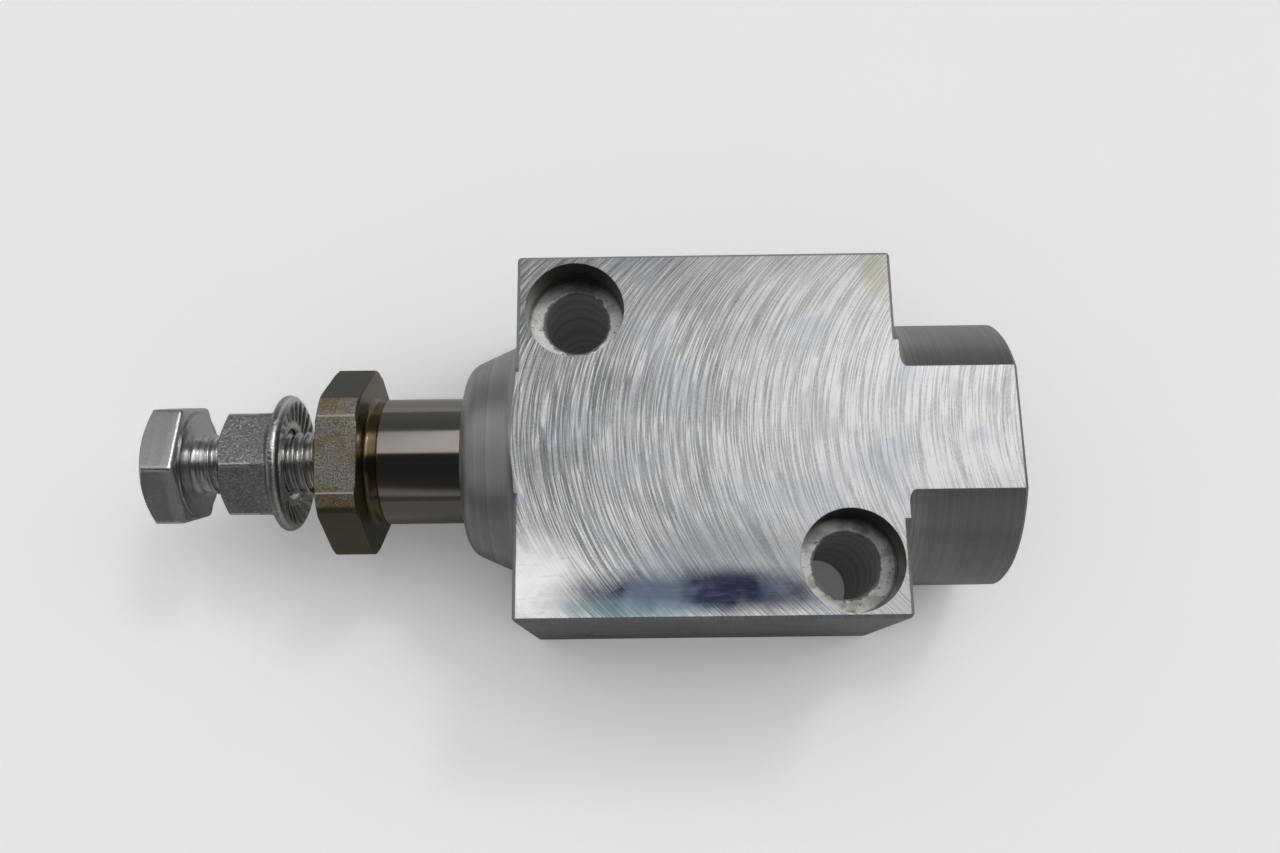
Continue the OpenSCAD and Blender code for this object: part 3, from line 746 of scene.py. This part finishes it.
def oxide_plunger():
    """Browned hexagon with a pebbly upper flat, gold undercut and ground stem. Some of the hexagon's and the
    stem's light and shade is painted.
    """
    g = Graph("oxide_steel")
    x_in = PLUNGER_LOW.x + HEX_L
    x_stem = x_in + UNDERCUT_L
    radius, away = turned_coordinates(g)
    nx, ny, nz = g.split(g.normal)
    on_hex = g.remap(g.x, x_in + 0.05, x_in - 0.05)
    side = g.times(on_hex, g.remap(g.math("ABSOLUTE", nx), 0.5, 0.2))
    ground = g.remap(g.x, x_stem - 0.05, x_stem + 0.05)
    undercut = g.math("SUBTRACT", 1.0, g.math("MAXIMUM", on_hex, ground))

    up_flat = g.remap(nz, 0.755, 0.785)
    pebbles = g.noise(g.place, 4.6, 2.0, 0.55)
    grain = g.noise(g.place, 9.0, 3.0, 0.65)
    grinding = g.noise(g.join(g.x, radius, 2.0), 14.0, 2.0, 0.6)
    height = g.add(g.times(pebbles, g.blend(up_flat, 0.008, 0.055), side),
                   g.times(grain, on_hex, g.blend(up_flat, 0.004, 0.02)))
    height = g.add(height, g.times(grinding, g.math("SUBTRACT", 1.0, on_hex), 0.0012))
    rounded = g.soft_edges(0.14)
    normal = g.bump(height, rounded)
    wear = g.edge_wear(rounded, 0.03, 0.3)

    rust = g.noise(g.place, 0.30, 2.0, 0.5, 0.3)
    brown = g.mix(g.noise(g.place, 0.16, 3.0, 0.5), (0.145, 0.128, 0.092), (0.185, 0.165, 0.122))
    # painted shade: the hexagon's faces turned towards +Y are darker
    brown = g.mix(g.times(g.remap(ny, 0.3, 0.7), 0.55), brown, (0.055, 0.048, 0.034))
    # painted light: the faces turned up take this lighter pebbly colour while the rest stays dark brown; the
    # pebbles are real grain
    pebbly = g.mix(g.remap(pebbles, 0.36, 0.64), (0.24, 0.22, 0.185), (0.66, 0.63, 0.57))
    tinted = g.times(g.remap(rust, 0.44, 0.60), g.remap(pebbles, 0.62, 0.40, 0.45, 1.0))
    pebbly = g.mix(g.times(tinted, 0.8), pebbly, (0.36, 0.25, 0.085))
    brown = g.mix(g.times(up_flat, 0.9), brown, pebbly)
    steel = g.mix(g.noise(g.place, 0.3, 3.0, 0.6), (0.46, 0.425, 0.385), (0.56, 0.525, 0.485))
    # painted shade: the stem is darker and browner where it turns towards +Y and -Y
    steel = g.mix(g.times(g.remap(g.math("ABSOLUTE", ny), 0.45, 0.85), 0.85), steel, (0.27, 0.245, 0.205))
    # the undercut's gold is its own tint; its darkness is painted shade in the recess
    gold = g.mix(rust, (0.27, 0.21, 0.115), (0.17, 0.135, 0.08))
    base = g.mix(ground, g.mix(undercut, brown, gold), steel)
    base = g.mix(g.times(wear, on_hex, 0.7), base, (0.60, 0.57, 0.50))
    outwards = g.math_vector("NORMALIZE", away)
    radial = g.math("ABSOLUTE", g.math_vector("DOT_PRODUCT", g.normal, outwards))
    # painted highlight: thin bright lines along the edges of the upper flat
    painted_edge_highlight = g.times(g.remap(radius, HEX_D / 2 - 0.16, HEX_D / 2 - 0.08), g.remap(radial, 0.97, 0.95))
    base = g.mix(g.times(painted_edge_highlight, side, up_flat, 0.8), base, (0.92, 0.90, 0.84))
    hex_rough = g.blend(on_hex, 0.22, g.blend(up_flat, 0.36, 0.44))
    rough = g.blend(ground, hex_rough, g.add(0.11, g.times(grinding, 0.05)))
    metallic = g.math("SUBTRACT", 1.0, g.times(up_flat, side, 0.35))
    return g.surface(base, metallic, rough, normal, g.blend(on_hex, 0.55, 0.0), g.join(1.0, 0.0, 0.0))


def zinc_fastener(name, light, dark, far_face_painted_shading, pebble, rough, across_flats, x_end):
    """Clear or blue zinc over forged or rolled steel.

    Pebble is the height of its forged grain, far_face_painted_shading the painted light and shade of its
    faces towards the plunger, and x_end the place where the painted highlights on its hexagon's corners end.
    """
    g = Graph(name)
    radius, _ = turned_coordinates(g)
    hammered = g.noise(g.place, 2.4, 3.0, 0.6)
    grain = g.noise(g.place, 6.0, 3.0, 0.65)
    streaks = g.noise(g.join(g.x, g.times(g.y, 0.15), g.times(g.z, 0.15)), 3.0, 3.0, 0.6)
    outside = g.remap(radius, M10["major"] + 0.4, M10["major"] + 1.2, 0.02, 1.0)
    height = g.add(g.times(hammered, outside, pebble), g.times(grain, outside, pebble * 0.30),
                   g.times(streaks, outside, 0.010))
    rounded = g.soft_edges(0.13)
    normal = g.bump(height, g.blend_vector(outside, g.normal, rounded))
    wear = g.edge_wear(rounded, 0.03, 0.3)
    cloud = g.noise(g.place, 0.35, 4.0, 0.6)
    bands = g.noise(g.join(g.x, g.times(g.y, 0.04), g.times(g.z, 0.04)), 0.55, 1.0, 0.5)
    base = g.mix(cloud, dark, light)
    banding = g.times(g.remap(bands, 0.62, 0.36), outside, max(0.05, 0.5 - pebble * 6.0))
    base = g.mix(banding, base, dimmed(dark, 0.6))
    base = g.mix(g.times(g.remap(hammered, 0.50, 0.36), outside, pebble * 5.0), base, dimmed(dark, 0.45))
    base = g.mix(g.times(g.remap(hammered, 0.57, 0.66), outside, pebble * 6.0), base, (0.97, 0.98, 0.98))
    base = g.mix(g.times(g.remap(grain, 0.46, 0.33), outside, pebble * 8.0), base, (0.20, 0.21, 0.21))
    base = g.mix(g.times(g.remap(grain, 0.58, 0.68), outside, 0.15 + pebble * 8.0), base, (0.98, 0.98, 0.98))
    nx, _, _ = g.split(g.normal)
    # painted light and shade: faces turned towards +X are painted darker on the bolt and lighter on the nut
    facing = g.remap(nx, 0.2, 0.6)
    base = g.mix(g.times(facing, 0.8), base, far_face_painted_shading)
    # painted shade: a dark ring along the edge of the bolt's washer face
    from_ring = g.math("ABSOLUTE", g.math("SUBTRACT", radius, HEAD_FACE_R))
    ring = g.times(g.remap(from_ring, 0.22, 0.06), facing, max(0.0, 0.75 - pebble * 10.0))
    base = g.mix(ring, base, (0.14, 0.145, 0.14))
    # painted highlight: the hexagon's corners are painted white up to x_end
    at_corner = g.remap(radius, across_flats * 0.5605, across_flats * 0.5665)
    on_side = g.remap(g.math("ABSOLUTE", nx), 0.4, 0.2)
    corner = g.times(at_corner, on_side, g.remap(g.x, x_end, x_end - 0.3))
    base = g.mix(g.times(corner, 0.8), base, (1.0, 1.0, 1.0))
    base = g.mix(g.times(wear, outside, 0.7), base, (0.92, 0.93, 0.92))
    return g.surface(base, 1.0, g.add(rough, g.times(cloud, 0.12)), normal)


def plain_metal(name, light, dark, rough, marks=0.003):
    """Turned, ground or drawn metal with fine marks around its axis."""
    g = Graph(name)
    radius, _ = turned_coordinates(g)
    lines = g.noise(g.join(g.x, radius, 4.0), 6.0, 3.0, 0.6)
    cloud = g.noise(g.place, 0.5, 4.0, 0.6)
    rounded = g.soft_edges(0.08)
    normal = g.bump(g.times(lines, marks), rounded)
    base = g.mix(cloud, dark, light)
    base = g.mix(g.times(g.edge_wear(rounded), 0.5), base, dimmed(light, 1.3))
    return g.surface(base, 1.0, g.add(rough, g.times(cloud, 0.1)), normal, 0.4, g.join(1.0, 0.0, 0.0))


def soft_seal(name, light, dark, rough):
    """Moulded rubber or plastic: faint clouds, a fine moulded grain and dulled edges."""
    g = Graph(name)
    cloud = g.noise(g.place, 0.7, 4.0, 0.6)
    grain = g.noise(g.place, 11.0, 2.0, 0.6)
    rounded = g.soft_edges(0.08)
    normal = g.bump(g.times(grain, 0.004), rounded)
    base = g.mix(cloud, dark, light)
    return g.surface(base, 0.0, g.add(rough, g.times(cloud, 0.15)), normal)


def make_materials():
    """Every finish, by the name of its slot."""
    # the faces towards the plunger are painted shade on the bolt and painted light on the nut
    bolt = {"light": (0.84, 0.85, 0.83), "dark": (0.66, 0.67, 0.64), "far_face_painted_shading": (0.52, 0.53, 0.51),
            "pebble": 0.008, "rough": 0.20, "across_flats": HEAD_AF, "x_end": BOLT_LOW.x + HEAD_H - UNDER_R}
    nut = {"light": (0.58, 0.60, 0.61), "dark": (0.38, 0.40, 0.415), "far_face_painted_shading": (0.97, 0.97, 0.95),
           "pebble": 0.10, "rough": 0.18, "across_flats": NUT_AF, "x_end": NUT_HIGH.x - NUT_SKIRT_L - 1.0}
    return {
        "zinc_steel_block": zinc_block(),
        "oxide_steel": oxide_plunger(),
        "zinc_bolt": zinc_fastener("zinc_bolt", **bolt),
        "zinc_nut": zinc_fastener("zinc_nut", **nut),
        "bright_steel": plain_metal("bright_steel", (0.66, 0.67, 0.69), (0.56, 0.57, 0.59), 0.18),
        "spring_steel": plain_metal("spring_steel", (0.30, 0.31, 0.33), (0.22, 0.23, 0.25), 0.28, 0.002),
        "phosphated_steel": plain_metal("phosphated_steel", (0.16, 0.16, 0.165), (0.10, 0.10, 0.105), 0.48,
                                        0.006),
        "cage_steel": plain_metal("cage_steel", (0.48, 0.50, 0.47), (0.36, 0.38, 0.35), 0.36, 0.006),
        "bronze": plain_metal("bronze", (0.72, 0.47, 0.22), (0.58, 0.36, 0.16), 0.30, 0.004),
        "ptfe": soft_seal("ptfe", (0.86, 0.83, 0.74), (0.78, 0.75, 0.66), 0.45),
        "polyurethane_green": soft_seal("polyurethane_green", (0.04, 0.22, 0.13), (0.02, 0.13, 0.08), 0.35),
        "polyurethane_blue": soft_seal("polyurethane_blue", (0.05, 0.17, 0.42), (0.03, 0.10, 0.28), 0.35),
        "nitrile_rubber": soft_seal("nitrile_rubber", (0.030, 0.030, 0.034), (0.018, 0.018, 0.020), 0.42),
    }


def paint(obj, material):
    obj.data.materials.clear()
    obj.data.materials.append(material)


# ---------------------------------------------------------------- floor, light and camera

FLOOR_GAP = 0.02    # below the mounting face
FLOOR_GLOW = 0.50   # the floor's own light to the camera; reflections see almost none of it


def pale_floor():
    """Pale matt floor, even to the camera. Reflections see it darker, most of all in front of the valve."""
    mesh = bpy.data.meshes.new("floor")
    reach = 3.0
    mesh.from_pydata([(-reach, -reach, 0), (reach, -reach, 0), (reach, reach, 0), (-reach, reach, 0)], [],
                     [(0, 1, 2, 3)])
    floor = bpy.data.objects.new("floor", mesh)
    floor.location.z = -FLOOR_GAP * MM
    bpy.context.scene.collection.objects.link(floor)
    g = Graph("floor_paint")
    cloud = g.noise(g.place, 0.03, 4.0, 0.6)
    seen = g.mix(cloud, (0.74, 0.74, 0.74), (0.80, 0.80, 0.80))
    direct = g.node("ShaderNodeLightPath").outputs["Is Camera Ray"]
    shaded = g.remap(g.y, -60.0, 15.0, 0.46, 0.85)
    base = g.mix(direct, g.join(shaded, shaded, shaded), seen)
    open_sky = g.node("ShaderNodeAmbientOcclusion", samples=4)
    open_sky.inputs["Distance"].default_value = 0.05
    contact_shade = g.remap(open_sky.outputs["AO"], 0.10, 0.95, 0.14, 1.0)
    glow = g.times(g.blend(direct, g.times(shaded, 0.06), FLOOR_GLOW), contact_shade)
    paint(floor, g.surface(base, 0.0, 0.9, **{"Emission Color": (1, 1, 1, 1), "Emission Strength": glow}))


# Lights by direction: spans in degrees from straight up, towards +X and towards +Y
SOFTBOX_X, SOFTBOX_Y = (-16, 58), (2.7, 44)
SOFTBOX_GLOW, SOFTBOX_RISE = 0.56, 0.62      # at its -X end, and how much brighter it gets towards +X
BULB, BULB_GLOW, BULB_TIGHT = (24, 33), 26.0, 120.0      # the softbox's brightest spot
PANEL_X, PANEL_Y, PANEL_GLOW = (-48, -20), (28, 43), 0.52      # a second panel over the striker
WINDOW_X, WINDOW_Y, WINDOW_GLOW = (-78, -48), (-55, 60), 0.40      # a weaker light low on the -X side
# Two weak lights low on the -Y side: they fill the sides that face the front, and back views mirror them
FRONT_X, FRONT_Y, FRONT_GLOW = ((-50, -27), (5, 78)), (-80, -38), 0.17
# The room's brightness at angles towards +Y
ROOM = ((-90, 0.09), (-74, 0.10), (-62, 0.022), (0, 0.022), (6, 0.10), (55, 0.09), (90, 0.13))
BACKDROP = 0.70     # what the camera sees beyond the floor


def studio():
    """A room with a large softbox and weaker lights, written as brightness by direction.

    The camera sees it plain and pale.
    """
    pale_floor()
    world = bpy.data.worlds.new("studio")
    bpy.context.scene.world = world
    world.use_nodes = True
    g = Graph("studio_light", world.node_tree)
    dx, dy, dz = g.split(g.node("ShaderNodeTexCoord").outputs["Generated"])
    up = g.math("MAXIMUM", dz, 0.001)
    lean_x = g.math("DIVIDE", dx, up)
    lean_y = g.math("DIVIDE", dy, up)
    box = g.times(window(g, lean_x, SOFTBOX_X, 0.05), window(g, lean_y, SOFTBOX_Y, 0.02),
                  g.remap(dz, 0.0, 0.05))
    off_x, off_y = [g.math("SUBTRACT", lean, math.tan(math.radians(part)))
                    for lean, part in zip((lean_x, lean_y), BULB)]
    far = g.add(g.times(off_x, off_x), g.times(off_y, off_y))
    glow = g.add(SOFTBOX_GLOW, g.times(g.remap(lean_x, 0.0, 0.55), SOFTBOX_RISE),
                 g.times(g.math("EXPONENT", g.times(far, -BULB_TIGHT)), BULB_GLOW))
    side = g.times(window(g, lean_x, WINDOW_X, 0.5), window(g, lean_y, WINDOW_Y, 0.3), WINDOW_GLOW)
    panel = g.times(window(g, lean_x, PANEL_X, 0.08), window(g, lean_y, PANEL_Y, 0.05), PANEL_GLOW)
    angle = g.math("DEGREES", g.math("ARCTAN2", dy, up))
    room = ROOM[0][1]
    for (a0, b0), (a1, b1) in zip(ROOM, ROOM[1:]):
        room = g.add(room, g.remap(angle, a0, a1, 0.0, b1 - b0))
    fronts = [window(g, lean_x, part, 0.08) for part in FRONT_X]
    front = g.times(g.add(*fronts), window(g, lean_y, FRONT_Y, 0.1), g.remap(dz, 0.0, 0.08), FRONT_GLOW)
    light = g.add(g.times(box, glow), side, panel, front, room)
    camera_ray = g.node("ShaderNodeLightPath").outputs["Is Camera Ray"]
    shade = g.blend(camera_ray, light, BACKDROP)
    sky = g.node("ShaderNodeBackground")
    g.put(sky.inputs["Color"], g.join(shade, shade, shade))
    g.put(g.node("ShaderNodeOutputWorld").inputs["Surface"], sky.outputs[0])


def window(g, lean, span, soft):
    """1 inside a span of leans, in degrees, and 0 outside, with soft edges."""
    low, high = [math.tan(math.radians(part)) for part in span]
    return g.times(g.remap(lean, low - soft, low + soft), g.remap(lean, high - soft, high + soft, 1.0, 0.0))


CAMERA_PLACE = (-8.7, -39.9, 174.9 + 18.5)       # millimetres
CAMERA_TURN = (14.50, 0.40, -0.75)               # degrees about X, Y and Z
CAMERA_LENS = 31.4                               # on a 36 mm sensor


def camera():
    data = bpy.data.cameras.new("camera")
    data.sensor_width = 36
    data.lens = CAMERA_LENS
    data.clip_start = 0.01
    view = bpy.data.objects.new("camera", data)
    view.location = [part * MM for part in CAMERA_PLACE]
    view.rotation_mode = "ZYX"
    view.rotation_euler = [math.radians(part) for part in CAMERA_TURN]
    bpy.context.scene.collection.objects.link(view)
    bpy.context.scene.camera = view


# ---------------------------------------------------------------- the valve

materials = make_materials()
pieces = [
    build_block(),
    build_plunger(),
    build_nut(),
    build_bolt(),
    build_spring("return_spring_coil", "return_spring", 0.8, 4.5),
    build_spring("poppet_spring_coil", "poppet_spring", 0.55, 5.5),
]
for piece in pieces:
    paint(piece, materials[piece["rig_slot"]])
slots = {row["node"]: row["material_slot"] for row in frame["record"]["subparts"]}
for name, node in frame["nodes"].items():
    paint(node, materials[slots[name]])

studio()
camera()
bpy.context.scene.view_settings.view_transform = "Standard"
